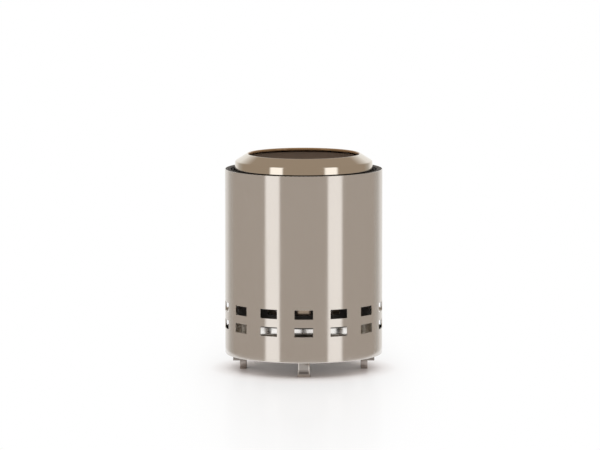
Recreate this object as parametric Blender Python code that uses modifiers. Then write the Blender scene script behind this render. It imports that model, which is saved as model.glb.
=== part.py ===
"""Smokeless fire pit with three sheet-metal walls, for Blender 4.5.

An outer shell stands on four stepped feet and holds a jacket, which holds the burn chamber.
Air enters through two rows of vents. Cooling air rises outside the jacket and leaves through the
slotted ring at the top. Burning air rises inside the jacket, is heated there and leaves through
the holes near the top of the burn chamber, under the domed flame ring.

Metres, +Z up. The origin is on the ground at the middle, and the front is at -Y.
"""

import math

import bmesh
import bpy
from mathutils import Matrix

# Clearance between pieces, gauge of the walls, and length of the cutters that go through a sheet
FIT = 0.0003
SHEET = 0.0012
CUT_THROUGH = 0.010

# How near points merge, and how flat faces join
MERGE = 0.00001
FLAT = math.radians(0.5)

# Outer shell
SHELL_RADIUS = 0.150
SHELL_BOTTOM = 0.030
SHELL_HEIGHT = 0.3537
SHELL_HEM = 0.005
SHELL_BEND = 0.0015

# Vents in the shell, in columns with a plain stretch at the back for the welded seam
VENT_COLUMNS = 13
SEAM_STRETCH = math.radians(43.2)
VENT_WIDTH = 0.035
VENT_HEIGHT = 0.0175
LOWER_VENT_ABOVE_EDGE = 0.0585
VENT_ROW_PITCH = 0.0335

# Jacket, the middle wall, with the airway around it
OUTER_AIRWAY = 0.0218
JACKET_RAISE = 0.0031
JACKET_FLANGE = 0.008
JACKET_VENT_WIDTH = 0.0275
JACKET_VENT_HEIGHT = 0.0175
JACKET_VENT_RAISE = 0.0045
JACKET_FLOOR_RIM = 0.008
BRACKET_WIDTH = 0.022
BRACKET_HEIGHT = 0.009
BRACKET_SHEET = 0.0015
BRACKET_COLUMNS = (-5.5, -1.5, 1.5, 5.5)

# Burn chamber, the inner wall, with the airway around it
INNER_AIRWAY = 0.0138
CHAMBER_FLANGE = 0.008
CHAMBER_FLOOR_RIM = 0.004
SPACER_HEIGHT = 0.0088
SPACER_RADIUS = 0.0035
SPACER_COUNT = 4
CHAMBER_DROP = 0.0045
PRIMARY_HOLES = 30
PRIMARY_HOLE_RADIUS = 0.0035
PRIMARY_HOLE_RAISE = 0.0095
SECONDARY_HOLES = 30
SECONDARY_HOLE_RADIUS = 0.004
SECONDARY_HOLE_DROP = 0.030

# Crown ring between burn chamber and jacket, below the tabs of the flame ring
CROWN_BELOW_TABS = 0.002
CROWN_LEG = 0.005

# Flame ring, wider than the jacket, with a mouth narrower than the burn chamber and a band
# that widens a little downwards
RING_OVERHANG = 0.005
MOUTH_OVERHANG = 0.0067
LIP_ABOVE_SHELL = 0.0288
LIP_BEND = 0.0025
LIP_DEPTH = 0.0045
CONE_SLOPE = math.radians(32.0)
CONE_BEND = 0.004
BAND_FLARE = 0.0013
BAND_BELOW_SHELL = 0.011
TAB_WIDTH = 0.012
TAB_REACH = 0.008
TAB_DEPTH = 0.010
TAB_COUNT = 4

# Slotted ring at the top of the shell
TOP_RING_DROP = 0.0008
TOP_RING_GAP = 0.001
TOP_SLOTS = 105
SLOT_LENGTH = 0.0085
SLOT_WIDTH = 0.0050

# Base ring in the foot of the shell, a little wider than the feet reach inwards
BASE_MARGIN = 0.0045
BASE_SHEET = 0.0015
BASE_OUTER_LEG = 0.014
BASE_INNER_LEG = 0.008
BASE_BEND = 0.002

# Feet, from the shell inwards
FOOT_INSET = 0.015
FOOT_STEP = 0.013
FOOT_DEPTH = 0.013
FOOT_STEP_HEIGHT = 0.0155
FOOT_WIDTH = 0.022
FOOT_SOLE_WIDTH = 0.025
FOOT_SHEET = 0.0015

# Rivets that hold the feet to the base ring
RIVET_RADIUS = 0.0025
RIVET_HOLE_PLAY = 0.0003
RIVET_HEAD_RADIUS = 0.0044
RIVET_HEAD_HEIGHT = 0.0022
RIVET_EDGE = 0.007

# Where a rivet's dome turns, as shares of the head's radius and height
RIVET_DOME = (0.6, 0.8)

# Grate, its ledge and the ash pan, each narrower than what it is lifted out through
GRATE_PLAY = 0.0043
GRATE_THICKNESS = 0.0025
GRATE_RIM = 0.006
GRATE_HOLE_RADIUS = 0.005
GRATE_LIFT_HOLE_RADIUS = 0.0095
GRATE_HOLE_ROWS = 3
GRATE_HOLES_PER_ROW = 6
LEDGE_SEAT = 0.0055
LEDGE_LEG = 0.010
LEDGE_ABOVE_FLOOR = 0.033
PAN_PLAY = 0.0025
PAN_DEPTH = 0.020
PAN_FLARE = 0.006
PAN_RIM_WIDTH = 0.004
PAN_RIM_BEND = 0.0018
PAN_BEND = 0.004

# Facets round the tall walls and what fits round one, round the rest, and round a pin or a hole
WALL_STEPS = 60
SMALL_STEPS = 36
PIN_STEPS = 8
HOLE_SIDES = 6

# Heights and radii that follow from the sizes above
SHELL_TOP = SHELL_BOTTOM + SHELL_HEIGHT
SHELL_BORE = SHELL_RADIUS - SHEET
VENT_PITCH = (2 * math.pi - SEAM_STRETCH) / (VENT_COLUMNS - 1)
LOWER_VENT_Z = SHELL_BOTTOM + LOWER_VENT_ABOVE_EDGE
UPPER_VENT_Z = LOWER_VENT_Z + VENT_ROW_PITCH
BETWEEN_ROWS_Z = (LOWER_VENT_Z + UPPER_VENT_Z) / 2
JACKET_RADIUS = SHELL_BORE - OUTER_AIRWAY
JACKET_BORE = JACKET_RADIUS - SHEET
JACKET_BOTTOM = LOWER_VENT_Z + JACKET_RAISE
JACKET_FLOOR_BOTTOM = JACKET_BOTTOM + SHEET + FIT
JACKET_FLOOR_TOP = JACKET_FLOOR_BOTTOM + SHEET
CHAMBER_RADIUS = JACKET_BORE - INNER_AIRWAY
CHAMBER_BORE = CHAMBER_RADIUS - SHEET
CHAMBER_BOTTOM = JACKET_FLOOR_TOP + SPACER_HEIGHT
CHAMBER_FLOOR_BOTTOM = CHAMBER_BOTTOM + SHEET + FIT
CHAMBER_FLOOR_TOP = CHAMBER_FLOOR_BOTTOM + SHEET
RING_RADIUS = JACKET_RADIUS + RING_OVERHANG
BAND_TOP_RADIUS = RING_RADIUS - BAND_FLARE
MOUTH_RADIUS = CHAMBER_RADIUS - MOUTH_OVERHANG
GRATE_RADIUS = MOUTH_RADIUS - GRATE_PLAY
LEDGE_INNER_RADIUS = GRATE_RADIUS - LEDGE_SEAT
LEDGE_TOP = CHAMBER_FLOOR_TOP + LEDGE_ABOVE_FLOOR
PAN_RADIUS = LEDGE_INNER_RADIUS - PAN_PLAY
FOOT_OUTER_RADIUS = SHELL_RADIUS - FOOT_INSET
FOOT_STEP_RADIUS = FOOT_OUTER_RADIUS - FOOT_STEP
FOOT_INNER_RADIUS = FOOT_STEP_RADIUS - FOOT_DEPTH
BASE_BOTTOM = SHELL_BOTTOM + SHEET + FIT
BASE_TOP = BASE_BOTTOM + BASE_SHEET
BASE_OUTER_RADIUS = SHELL_BORE - FIT
BASE_INNER_RADIUS = FOOT_INNER_RADIUS - BASE_MARGIN
FOOT_TOP = BASE_BOTTOM - FIT
TOP_RING_Z = SHELL_TOP - TOP_RING_DROP
TOP_RING_BORE = RING_RADIUS + TOP_RING_GAP
TOP_RING_RADIUS = SHELL_BORE - FIT

VENT_ANGLES = [(i - VENT_COLUMNS // 2) * VENT_PITCH for i in range(VENT_COLUMNS)]
QUARTER_TURNS = {"front": 0.0, "right": 90.0, "back": 180.0, "left": 270.0}

MODEL = "smokeless_fire_pit"
CUTTERS = "cutters"


def clear_scene():
    for obj in list(bpy.data.objects):
        bpy.data.objects.remove(obj, do_unlink=True)


def collection(name):
    made = bpy.data.collections.new(name)
    bpy.context.scene.collection.children.link(made)
    return made


def metal(name, colour, roughness):
    made = bpy.data.materials.new(name)
    made.use_nodes = True
    shader = made.node_tree.nodes["Principled BSDF"]
    shader.inputs["Base Color"].default_value = (*colour, 1.0)
    shader.inputs["Roughness"].default_value = roughness
    shader.inputs["Metallic"].default_value = 1.0
    return made


def place(name, data, material, azimuth=0.0):
    """Add an object of the model, turned about the pit's axis from the front to an azimuth."""
    obj = bpy.data.objects.new(name, data)
    data.materials.append(material)
    obj.rotation_euler.z = azimuth
    bpy.data.collections[MODEL].objects.link(obj)
    return obj


# Outlines, as lists of (radius, height)

def rounded(corners, steps):
    """Replace each corner given as (radius, height, bend) by an arc of that bend radius."""
    path = []
    for i, corner in enumerate(corners):
        bend = corner[2] if len(corner) == 3 else 0.0
        if bend == 0.0:
            path.append(corner[:2])
            continue
        here = corner[:2]
        before = unit(here, corners[i - 1][:2])
        after = unit(here, corners[i + 1][:2])
        half = math.acos(before[0] * after[0] + before[1] * after[1]) / 2
        middle = unit((0.0, 0.0), (before[0] + after[0], before[1] + after[1]))
        centre = [here[k] + middle[k] * bend / math.sin(half) for k in (0, 1)]
        start = [here[k] + before[k] * bend / math.tan(half) for k in (0, 1)]
        end = [here[k] + after[k] * bend / math.tan(half) for k in (0, 1)]
        first = math.atan2(start[1] - centre[1], start[0] - centre[0])
        last = math.atan2(end[1] - centre[1], end[0] - centre[0])
        turn = (last - first + math.pi) % (2 * math.pi) - math.pi
        for step in range(steps + 1):
            angle = first + turn * step / steps
            path.append((centre[0] + bend * math.cos(angle), centre[1] + bend * math.sin(angle)))
    return path


def unit(start, end):
    length = math.dist(start, end)
    return ((end[0] - start[0]) / length, (end[1] - start[1]) / length)


def offset(path, distance):
    """The path moved sideways by a sheet's thickness, to the right of the way it runs."""
    moved = []
    for i, point in enumerate(path):
        runs = []
        if i > 0:
            runs.append(unit(path[i - 1], point))
        if i < len(path) - 1:
            runs.append(unit(point, path[i + 1]))
        normals = [(run[1], -run[0]) for run in runs]
        mitre = [sum(normal[k] for normal in normals) for k in (0, 1)]
        scale = distance * len(normals) / (mitre[0] ** 2 + mitre[1] ** 2)
        moved.append((point[0] + mitre[0] * scale, point[1] + mitre[1] * scale))
    return moved


def folded(corners, thickness, steps=2):
    """Section of a bent sheet: its outer face, then its inner face back again."""
    outer = rounded(corners, steps)
    return outer + offset(outer, thickness)[::-1]


# Solids made from those outlines

def turned(name, section, steps, material):
    """Spin a section about the pit's axis. It is closed, or ends twice on the axis."""
    mesh = bpy.data.meshes.new(name)
    points = [(radius, 0.0, height) for radius, height in section]
    joints = [(i, (i + 1) % len(points)) for i in range(len(points))]
    edges = [pair for pair in joints if any(section[end][0] > 0.0 for end in pair)]
    mesh.from_pydata(points, edges, [])
    obj = place(name, mesh, material)
    spin = obj.modifiers.new("spin", "SCREW")
    spin.axis = "Z"
    spin.angle = 2 * math.pi
    spin.steps = steps
    spin.render_steps = steps
    spin.use_merge_vertices = True
    spin.merge_threshold = MERGE
    spin.use_smooth_shade = True
    return obj


def plate(name, radius, bottom, thickness, steps, material):
    shape = bmesh.new()
    middle = Matrix.Translation((0.0, 0.0, bottom + thickness / 2))
    bmesh.ops.create_cone(
        shape, cap_ends=True, segments=steps, radius1=radius, radius2=radius, depth=thickness, matrix=middle
    )
    return place(name, to_mesh(shape), material)


def extruded(name, section, width, azimuth, material):
    return place(name, drawn(section, width), material, azimuth)


def drawn(section, width):
    """Give a section in the radius and height plane a width across that plane."""
    curve = bpy.data.curves.new("outline", "CURVE")
    curve.dimensions = "2D"
    curve.fill_mode = "BOTH"
    curve.extrude = width / 2
    spline = curve.splines.new("POLY")
    spline.points.add(len(section) - 1)
    for point, (radius, height) in zip(spline.points, section):
        point.co = (radius, height, 0.0, 1.0)
    spline.use_cyclic_u = True
    flat = bpy.data.objects.new("outline", curve)
    bpy.context.scene.collection.objects.link(flat)
    bpy.context.view_layer.update()
    solid = bpy.data.meshes.new_from_object(flat.evaluated_get(bpy.context.evaluated_depsgraph_get()))
    bpy.data.objects.remove(flat, do_unlink=True)
    weld(solid)
    solid.transform(upright())
    return solid


def upright():
    """Stand a drawing up, so that its X runs from the axis to the front and its Y upwards."""
    return Matrix(((0, 0, -1, 0), (-1, 0, 0, 0), (0, 1, 0, 0), (0, 0, 0, 1)))


def weld(mesh):
    shape = bmesh.new()
    shape.from_mesh(mesh)
    bmesh.ops.remove_doubles(shape, verts=shape.verts, dist=MERGE)
    bmesh.ops.dissolve_limit(shape, angle_limit=FLAT, verts=shape.verts, edges=shape.edges)
    bmesh.ops.recalc_face_normals(shape, faces=shape.faces)
    shape.to_mesh(mesh)
    shape.free()


# Cutters

def box_cutter(places, size):
    """Boxes at (azimuth, radius, height), each with its sides along radius, width and height."""
    shape = bmesh.new()
    for azimuth, radius, height in places:
        stand = (
            Matrix.Rotation(azimuth, 4, "Z")
            @ Matrix.Translation((0.0, -radius, height))
            @ Matrix.Diagonal((size[1], size[0], size[2], 1.0))
        )
        bmesh.ops.create_cube(shape, size=1.0, matrix=stand)
    return cutter(to_mesh(shape))


def hole_cutter(places, radius, length, level, sides=HOLE_SIDES):
    """Round cutters at (azimuth, radius, height), lying along the radius or standing upright.

    The radius is measured to the flats, so that a round pin of that radius goes through.
    """
    corner = radius / math.cos(math.pi / sides)
    lie = Matrix.Rotation(math.pi / 2, 4, "X") if level else Matrix.Identity(4)
    shape = bmesh.new()
    for azimuth, away, height in places:
        stand = Matrix.Rotation(azimuth, 4, "Z") @ Matrix.Translation((0.0, -away, height)) @ lie
        bmesh.ops.create_cone(
            shape, cap_ends=True, segments=sides, radius1=corner, radius2=corner, depth=length, matrix=stand
        )
    return cutter(to_mesh(shape))


def to_mesh(shape):
    mesh = bpy.data.meshes.new("form")
    shape.to_mesh(mesh)
    shape.free()
    return mesh


def cutter(mesh):
    obj = bpy.data.objects.new("cutter", mesh)
    obj.hide_render = True
    obj.display_type = "WIRE"
    bpy.data.collections[CUTTERS].objects.link(obj)
    return obj


def cut(obj, tool):
    hole = obj.modifiers.new("cut", "BOOLEAN")
    hole.operation = "DIFFERENCE"
    hole.solver = "EXACT"
    hole.object = tool


def around(count, start=0.0):
    return [start + 2 * math.pi * i / count for i in range(count)]


# Outer walls

def outer_shell(steel):
    section = folded(
        [
            (SHELL_RADIUS, SHELL_TOP),
            (SHELL_RADIUS, SHELL_BOTTOM, SHELL_BEND),
            (SHELL_RADIUS - SHELL_HEM, SHELL_BOTTOM),
        ],
        SHEET,
        steps=1,
    )
    shell = turned("outer_shell", section, WALL_STEPS, steel)
    rows = [(angle, SHELL_RADIUS, z) for angle in VENT_ANGLES for z in (LOWER_VENT_Z, UPPER_VENT_Z)]
    cut(shell, box_cutter(rows, (CUT_THROUGH, VENT_WIDTH, VENT_HEIGHT)))


def top_vent_ring(steel):
    ring = plate("top_vent_ring", TOP_RING_RADIUS, TOP_RING_Z - SHEET, SHEET, WALL_STEPS, steel)
    cut(ring, hole_cutter([(0.0, 0.0, TOP_RING_Z)], TOP_RING_BORE, CUT_THROUGH, False, WALL_STEPS))
    middle = (TOP_RING_BORE + TOP_RING_RADIUS) / 2
    slots = [(angle, middle, TOP_RING_Z) for angle in around(TOP_SLOTS)]
    cut(ring, box_cutter(slots, (SLOT_LENGTH, SLOT_WIDTH, CUT_THROUGH)))


def base_ring(steel):
    section = folded(
        [
            (BASE_OUTER_RADIUS, BASE_BOTTOM + BASE_OUTER_LEG),
            (BASE_OUTER_RADIUS, BASE_BOTTOM, BASE_BEND),
            (BASE_INNER_RADIUS, BASE_BOTTOM),
            (BASE_INNER_RADIUS, BASE_BOTTOM + BASE_INNER_LEG),
        ],
        BASE_SHEET,
        steps=1,
    )
    ring = turned("base_ring", section, SMALL_STEPS, steel)
    cut(ring, hole_cutter(rivet_places(BASE_BOTTOM), RIVET_RADIUS + RIVET_HOLE_PLAY, CUT_THROUGH, False))


# Feet

def rivet_radii():
    return {"inner": FOOT_INNER_RADIUS + RIVET_EDGE, "outer": FOOT_OUTER_RADIUS - RIVET_EDGE}


def rivet_places(height):
    return [
        (math.radians(turn), radius, height)
        for turn in QUARTER_TURNS.values()
        for radius in rivet_radii().values()
    ]


def foot_form(inset, reach):
    """Stepped leg, splayed from the step to the sole: the outer form, or the hollow inside it."""
    inner = FOOT_INNER_RADIUS - reach
    step_radius = FOOT_STEP_RADIUS - inset
    step_height = FOOT_STEP_HEIGHT + inset
    outer = FOOT_OUTER_RADIUS - inset
    outline = [
        (inner, FOOT_TOP - inset),
        (inner, inset),
        (step_radius, inset),
        (step_radius, step_height),
        (outer, step_height),
        (outer, FOOT_TOP - inset),
    ]
    mesh = drawn(outline, FOOT_WIDTH - 2 * inset)
    shape = bmesh.new()
    shape.from_mesh(mesh)
    everything = shape.verts[:] + shape.edges[:] + shape.faces[:]
    step = (0.0, 0.0, step_height)
    bmesh.ops.bisect_plane(shape, geom=everything, dist=MERGE, plane_co=step, plane_no=(0.0, 0.0, 1.0))
    for vert in shape.verts:
        if vert.co.z < inset + MERGE:
            vert.co.x *= (FOOT_SOLE_WIDTH / 2 - inset) / (FOOT_WIDTH / 2 - inset)
    shape.to_mesh(mesh)
    shape.free()
    return mesh


def foot(side, turn, steel):
    """A stepped channel of folded sheet, open towards the pit's axis."""
    azimuth = math.radians(turn)
    obj = place("foot_" + side, foot_form(0.0, 0.0), steel, azimuth)
    hollow = cutter(foot_form(FOOT_SHEET, FOOT_SHEET))
    holes = [(0.0, radius, FOOT_TOP) for radius in rivet_radii().values()]
    drill = hole_cutter(holes, RIVET_RADIUS + RIVET_HOLE_PLAY, CUT_THROUGH, False)
    for tool in (hollow, drill):
        tool.rotation_euler.z = azimuth
        cut(obj, tool)


def rivet(name, azimuth, radius, steel):
    """A shank through the foot's top and the base ring, with a domed head at each end."""
    low = FOOT_TOP - FOOT_SHEET - FIT
    high = BASE_TOP + FIT
    dome_radius = RIVET_DOME[0] * RIVET_HEAD_RADIUS
    dome_height = RIVET_DOME[1] * RIVET_HEAD_HEIGHT
    section = [
        (0.0, high + RIVET_HEAD_HEIGHT),
        (dome_radius, high + dome_height),
        (RIVET_HEAD_RADIUS, high),
        (RIVET_RADIUS, high),
        (RIVET_RADIUS, low),
        (RIVET_HEAD_RADIUS, low),
        (dome_radius, low - dome_height),
        (0.0, low - RIVET_HEAD_HEIGHT),
    ]
    obj = turned(name, section, PIN_STEPS, steel)
    obj.location = (radius * math.sin(azimuth), -radius * math.cos(azimuth), 0.0)


# Jacket and what carries it

def jacket(steel):
    section = folded(
        [
            (JACKET_RADIUS, cone_underside(JACKET_RADIUS) - FIT),
            (JACKET_RADIUS, JACKET_BOTTOM),
            (JACKET_RADIUS - JACKET_FLANGE, JACKET_BOTTOM),
        ],
        SHEET,
    )
    wall = turned("jacket", section, WALL_STEPS, steel)
    row = [(angle, JACKET_RADIUS, UPPER_VENT_Z + JACKET_VENT_RAISE) for angle in VENT_ANGLES]
    cut(wall, box_cutter(row, (CUT_THROUGH, JACKET_VENT_WIDTH, JACKET_VENT_HEIGHT)))


def flat_inside(bore, width):
    """Radius at which a flat strip of that width fits inside a faceted bore."""
    facet = bore * math.cos(math.pi / WALL_STEPS)
    return math.sqrt(facet ** 2 - (width / 2) ** 2) - FIT


def dish(name, radius, bottom, rim, material):
    """A round floor with its edge turned up."""
    section = folded([(radius, bottom + rim), (radius, bottom), (0.0, bottom)], SHEET)
    return turned(name, section, SMALL_STEPS, material)


def jacket_brackets(steel):
    """Channel clips between jacket and shell, hidden between the two rows of vents."""
    low = BETWEEN_ROWS_Z - BRACKET_HEIGHT / 2
    high = BETWEEN_ROWS_Z + BRACKET_HEIGHT / 2
    outer = flat_inside(SHELL_BORE, BRACKET_WIDTH)
    section = folded(
        [
            (outer, high),
            (outer, low),
            (JACKET_RADIUS + FIT, low),
            (JACKET_RADIUS + FIT, high),
        ],
        BRACKET_SHEET,
    )
    for i, column in enumerate(BRACKET_COLUMNS):
        extruded(f"jacket_bracket_{i + 1}", section, BRACKET_WIDTH, column * VENT_PITCH, steel)


# Burn chamber

def burn_chamber(steel):
    section = folded(
        [
            (CHAMBER_RADIUS, cone_underside(CHAMBER_RADIUS) - CHAMBER_DROP),
            (CHAMBER_RADIUS, CHAMBER_BOTTOM),
            (CHAMBER_RADIUS - CHAMBER_FLANGE, CHAMBER_BOTTOM),
        ],
        SHEET,
    )
    wall = turned("burn_chamber", section, WALL_STEPS, steel)
    low = CHAMBER_BOTTOM + PRIMARY_HOLE_RAISE
    high = cone_underside(CHAMBER_RADIUS) - CHAMBER_DROP - SECONDARY_HOLE_DROP
    mid_facet = math.pi / WALL_STEPS
    primary = [(angle, CHAMBER_RADIUS, low) for angle in around(PRIMARY_HOLES, mid_facet)]
    secondary = [(angle, CHAMBER_RADIUS, high) for angle in around(SECONDARY_HOLES, mid_facet)]
    cut(wall, hole_cutter(primary, PRIMARY_HOLE_RADIUS, CUT_THROUGH, True))
    cut(wall, hole_cutter(secondary, SECONDARY_HOLE_RADIUS, CUT_THROUGH, True))


def chamber_spacers(steel):
    """Posts that hold the burn chamber off the jacket's floor."""
    away = CHAMBER_RADIUS - CHAMBER_FLANGE / 2
    low = JACKET_FLOOR_TOP + FIT
    high = CHAMBER_BOTTOM - FIT
    section = [(0.0, high), (SPACER_RADIUS, high), (SPACER_RADIUS, low), (0.0, low)]
    for i, azimuth in enumerate(around(SPACER_COUNT, math.pi / SPACER_COUNT)):
        post = turned(f"chamber_spacer_{i + 1}", section, PIN_STEPS, steel)
        post.location = (away * math.sin(azimuth), -away * math.cos(azimuth), 0.0)


def crown_ring(steel):
    high = cone_underside(JACKET_RADIUS) - TAB_DEPTH - CROWN_BELOW_TABS
    section = folded(
        [
            (CHAMBER_RADIUS + FIT, high),
            (JACKET_BORE - FIT, high),
            (JACKET_BORE - FIT, high - CROWN_LEG),
        ],
        SHEET,
    )
    turned("crown_ring", section, WALL_STEPS, steel)


# Flame ring

def cone_face(radius):
    """Height of the cone's outer face at a radius."""
    lip_centre = SHELL_TOP + LIP_ABOVE_SHELL - LIP_BEND
    touch_radius = MOUTH_RADIUS + LIP_BEND * (1 + math.sin(CONE_SLOPE))
    touch_height = lip_centre + LIP_BEND * math.cos(CONE_SLOPE)
    return touch_height - (radius - touch_radius) * math.tan(CONE_SLOPE)


def cone_underside(radius):
    return cone_face(radius) - SHEET / math.cos(CONE_SLOPE)


def flame_ring(steel):
    section = folded(
        [
            (MOUTH_RADIUS, SHELL_TOP + LIP_ABOVE_SHELL - LIP_DEPTH),
            (MOUTH_RADIUS, cone_face(MOUTH_RADIUS), LIP_BEND),
            (BAND_TOP_RADIUS, cone_face(BAND_TOP_RADIUS), CONE_BEND),
            (RING_RADIUS, SHELL_TOP - BAND_BELOW_SHELL),
        ],
        SHEET,
    )
    turned("flame_ring", section, WALL_STEPS, steel)


def ring_tabs(steel):
    """Bent tabs under the cone that reach down inside the jacket and centre the ring."""
    edge = flat_inside(JACKET_BORE, TAB_WIDTH)
    section = folded(
        [
            (edge - TAB_REACH, cone_underside(edge - TAB_REACH) - FIT),
            (edge, cone_underside(edge) - FIT),
            (edge, cone_underside(JACKET_RADIUS) - TAB_DEPTH),
        ],
        SHEET,
    )
    for i, azimuth in enumerate(around(TAB_COUNT, math.pi / TAB_COUNT)):
        extruded(f"ring_tab_{i + 1}", section, TAB_WIDTH, azimuth, steel)


# What lifts out

def grate_ledge(steel):
    section = folded(
        [
            (LEDGE_INNER_RADIUS, LEDGE_TOP),
            (CHAMBER_BORE - FIT, LEDGE_TOP),
            (CHAMBER_BORE - FIT, LEDGE_TOP - LEDGE_LEG),
        ],
        SHEET,
    )
    turned("grate_ledge", section, SMALL_STEPS, steel)


def fuel_grate(iron):
    low = LEDGE_TOP + FIT
    grate = plate("fuel_grate", GRATE_RADIUS, low, GRATE_THICKNESS, SMALL_STEPS, iron)
    row_pitch = (LEDGE_INNER_RADIUS - GRATE_RIM - GRATE_HOLE_RADIUS) / GRATE_HOLE_ROWS
    holes = []
    for row in range(1, GRATE_HOLE_ROWS + 1):
        half_step = math.pi / (row * GRATE_HOLES_PER_ROW)
        holes += [(angle, row * row_pitch, low) for angle in around(row * GRATE_HOLES_PER_ROW, half_step)]
    cut(grate, hole_cutter(holes, GRATE_HOLE_RADIUS, CUT_THROUGH, False))
    cut(grate, hole_cutter([(0.0, 0.0, low)], GRATE_LIFT_HOLE_RADIUS, CUT_THROUGH, False))


def ash_pan(steel):
    low = CHAMBER_FLOOR_TOP + FIT
    section = folded(
        [
            (PAN_RADIUS, low + PAN_DEPTH),
            (PAN_RADIUS - PAN_RIM_WIDTH, low + PAN_DEPTH, PAN_RIM_BEND),
            (PAN_RADIUS - PAN_RIM_WIDTH - PAN_FLARE, low, PAN_BEND),
            (0.0, low),
        ],
        SHEET,
        steps=1,
    )
    turned("ash_pan", section, SMALL_STEPS, steel)


def build():
    clear_scene()
    collection(MODEL)
    collection(CUTTERS)
    polished = metal("polished_stainless", (0.62, 0.57, 0.52), 0.12)
    satin = metal("satin_stainless", (0.50, 0.48, 0.45), 0.35)
    darkened = metal("fire_darkened_stainless", (0.12, 0.11, 0.10), 0.40)
    tinted = metal("heat_tinted_stainless", (0.30, 0.22, 0.16), 0.35)
    cast = metal("grate_steel", (0.16, 0.15, 0.14), 0.55)

    outer_shell(polished)
    top_vent_ring(darkened)
    base_ring(satin)
    for side, turn in QUARTER_TURNS.items():
        foot(side, turn, polished)
        for end, radius in rivet_radii().items():
            rivet(f"foot_rivet_{side}_{end}", math.radians(turn), radius, satin)
    jacket(darkened)
    dish("jacket_floor", JACKET_BORE - FIT, JACKET_FLOOR_BOTTOM, JACKET_FLOOR_RIM, satin)
    jacket_brackets(satin)
    burn_chamber(tinted)
    dish("chamber_floor", CHAMBER_BORE - FIT, CHAMBER_FLOOR_BOTTOM, CHAMBER_FLOOR_RIM, tinted)
    chamber_spacers(satin)
    crown_ring(tinted)
    grate_ledge(tinted)
    fuel_grate(cast)
    ash_pan(satin)
    flame_ring(polished)
    ring_tabs(satin)


build()
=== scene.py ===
"""Looks of a smokeless fire pit: turned sheet metal, steel finishes, a studio and a camera."""

import math
from collections import namedtuple

import bpy
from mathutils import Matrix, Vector


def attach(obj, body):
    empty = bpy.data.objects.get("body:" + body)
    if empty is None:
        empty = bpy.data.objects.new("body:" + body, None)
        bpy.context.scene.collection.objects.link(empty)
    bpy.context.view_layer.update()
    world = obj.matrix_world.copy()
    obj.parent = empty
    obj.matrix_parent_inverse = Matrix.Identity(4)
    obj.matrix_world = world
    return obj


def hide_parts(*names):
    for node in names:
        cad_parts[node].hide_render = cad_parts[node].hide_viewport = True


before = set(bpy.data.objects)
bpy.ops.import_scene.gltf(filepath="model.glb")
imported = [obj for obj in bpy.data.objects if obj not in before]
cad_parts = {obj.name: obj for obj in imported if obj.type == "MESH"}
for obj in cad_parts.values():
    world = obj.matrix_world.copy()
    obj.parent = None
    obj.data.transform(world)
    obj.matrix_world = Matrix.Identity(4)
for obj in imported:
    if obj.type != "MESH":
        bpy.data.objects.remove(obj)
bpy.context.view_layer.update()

ORIGIN = (0.0, 0.0, 0.0)
UP = (0.0, 0.0, 1.0)

# Sheet metal, in metres
FIT = 0.0003
SHEET = 0.0012
THICK_SHEET = 0.0015
BURR = 0.0002

# How meshes are joined, softened and shaded
MERGE = 0.00001
SHADING_HOLD = 0.0004
SMOOTH_BELOW = math.radians(20.0)
SOFTEN_ABOVE = math.radians(45.0)
JOIN_BELOW = math.radians(1.0)

# Outer shell and its vents
SHELL_RADIUS = 0.150
SHELL_BOTTOM = 0.030
SHELL_TOP = 0.3837
SHELL_BORE = SHELL_RADIUS - SHEET
SHELL_HEM = 0.005
SHELL_BEND = 0.0015
VENT_COLUMNS = 13
SEAM_STRETCH = math.radians(43.2)
VENT_PITCH = (2 * math.pi - SEAM_STRETCH) / (VENT_COLUMNS - 1)
VENT_WIDTH = 0.035
VENT_HEIGHT = 0.0175
LOWER_VENT_Z = 0.0885
UPPER_VENT_Z = 0.122

# Jacket and its floor
JACKET_RADIUS = 0.127
JACKET_BORE = JACKET_RADIUS - SHEET
JACKET_BOTTOM = 0.0916
JACKET_FLANGE = 0.008
JACKET_VENT_WIDTH = 0.0275
JACKET_VENT_Z = 0.1265
JACKET_FLOOR_BOTTOM = JACKET_BOTTOM + SHEET + FIT
JACKET_FLOOR_RIM = 0.008

# Burn chamber, its floor and the ring that closes the space round it
CHAMBER_RADIUS = 0.112
CHAMBER_BORE = CHAMBER_RADIUS - SHEET
CHAMBER_BOTTOM = JACKET_FLOOR_BOTTOM + SHEET + 0.0088
CHAMBER_TOP_DROP = 0.0045
CHAMBER_FLANGE = 0.008
CHAMBER_FLOOR_RIM = 0.004
CHAMBER_HOLES = 30
CHAMBER_HOLE_TURN = math.radians(3.0)
PRIMARY_HOLE_RADIUS = 0.0035
PRIMARY_HOLE_RAISE = 0.0095
SECONDARY_HOLE_RADIUS = 0.004
SECONDARY_HOLE_DROP = 0.030
CROWN_DROP = 0.012
CROWN_RIM = 0.005

# Flame ring
RING_RADIUS = 0.132
MOUTH_RADIUS = 0.1053
LIP_TOP = SHELL_TOP + 0.0288
LIP_BEND = 0.0025
LIP_DEPTH = 0.0045
CONE_SLOPE = math.radians(32.0)
CONE_BEND = 0.004
BAND_FLARE = 0.0013
BAND_TOP_RADIUS = RING_RADIUS - BAND_FLARE
BAND_BOTTOM = SHELL_TOP - 0.011
RING_BEND_STEPS = 10

# Slotted ring
TOP_RING_Z = SHELL_TOP - 0.0008
TOP_RING_PLAY = 0.001
TOP_SLOTS = 105
SLOT_LENGTH = 0.0085
SLOT_WIDTH = 0.0050

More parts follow.
